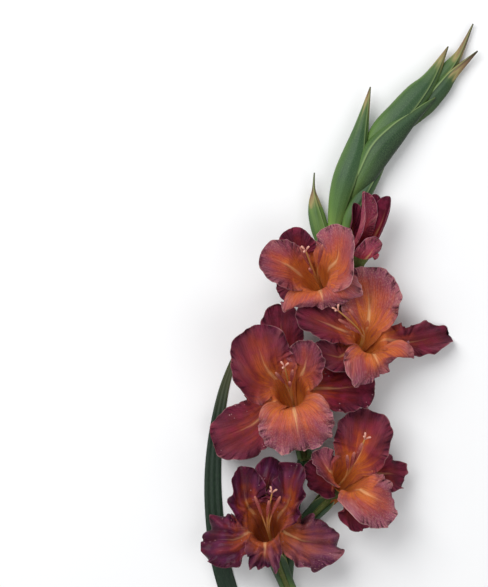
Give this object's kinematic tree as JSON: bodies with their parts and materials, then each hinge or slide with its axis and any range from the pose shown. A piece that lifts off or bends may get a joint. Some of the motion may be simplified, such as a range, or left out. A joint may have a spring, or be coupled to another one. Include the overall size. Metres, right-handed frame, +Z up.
{
  "type": "cut gladiolus",
  "caption": "Cut gladiolus spike lying on its back: open ruffled salmon and wine-purple blooms, a half-open bud and a green bud tip on one stem with a sword-shaped leaf.",
  "frame": {"origin": "on the surface that the spike lies on, under the middle of its box", "axes": "+Z up away from the surface, the way the open blooms face; +Y along the spike from the cut end to the green tip"},
  "size_m": [0.2526, 0.6987, 0.0898],
  "materials": {
    "petals_open": "velvety matt petal, orange throat to salmon, wine-purple towards the ruffled edge",
    "petals_old": "older, darker and slightly moist petal, dark red to purple",
    "petals_bud": "rolled dark wine petal of a half-open bud",
    "stamens": "ochre filaments, mauve anthers and pale pink stigma lobes",
    "bract": "waxy green bract with fine parallel veins and dry brown tips",
    "stem": "smooth waxy dark green stalk",
    "leaf": "ribbed satin dark green leaf with pale ribs"
  },
  "bodies": {
    "root": {"stem": "stem", "leaf": "leaf", "bloom_a_petals": "petals_open", "bloom_a_stamens": "stamens", "bloom_a_spathe": "bract", "bloom_b_petals": "petals_open", "bloom_b_stamens": "stamens", "bloom_b_spathe": "bract", "bloom_c_petals": "petals_open", "bloom_c_stamens": "stamens", "bloom_c_spathe": "bract", "bloom_d_petals": "petals_open", "bloom_d_stamens": "stamens", "bloom_d_spathe": "bract", "bloom_e_petals": "petals_old", "bloom_e_stamens": "stamens", "bloom_e_spathe": "bract", "bloom_half_open_petals": "petals_bud", "bloom_half_open_spathe": "bract", "bract_front": "bract", "bract_middle": "bract", "bract_upper": "bract", "bract_lower": "bract", "bract_right": "bract", "bract_top": "bract", "bract_left": "bract"}
  },
  "joints": []
}
